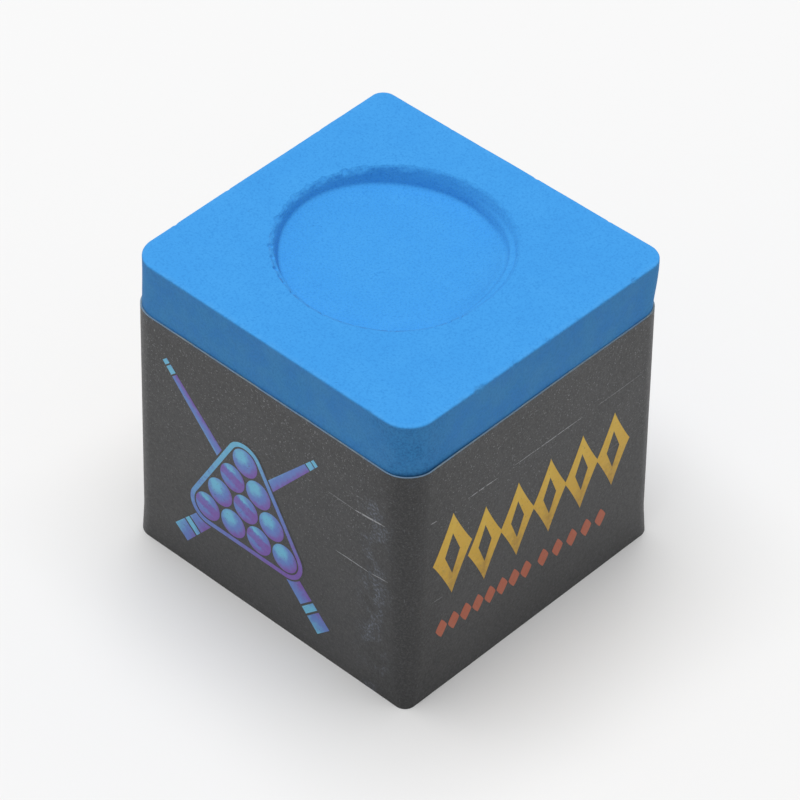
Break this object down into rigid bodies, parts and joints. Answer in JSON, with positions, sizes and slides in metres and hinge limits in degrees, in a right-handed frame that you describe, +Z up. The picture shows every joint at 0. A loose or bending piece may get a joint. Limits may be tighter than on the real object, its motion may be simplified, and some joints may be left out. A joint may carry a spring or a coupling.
{
  "type": "cue chalk cube",
  "caption": "Pressed chalk cube with a shallow round recess for a cue tip, and a paper label wrapped round its sides and stuck to its base.",
  "frame": {"origin": "middle of the underside, where the cube stands on the table", "axes": "+Z up out of the tip recess; -Y is the front face with the printed motif, +X the face with the printed rows, +Y the back face with the paper's lap"},
  "size_m": [0.0222, 0.0214, 0.0212],
  "materials": {
    "chalk": "matt pressed blue chalk, fine grain",
    "label_paper": "matt coated black print on white paper",
    "adhesive": "dried adhesive film"
  },
  "bodies": {
    "root": {"chalk_block": "chalk", "side_label": "label_paper", "base_label": "label_paper", "side_adhesive": "adhesive", "base_adhesive": "adhesive"}
  },
  "joints": []
}
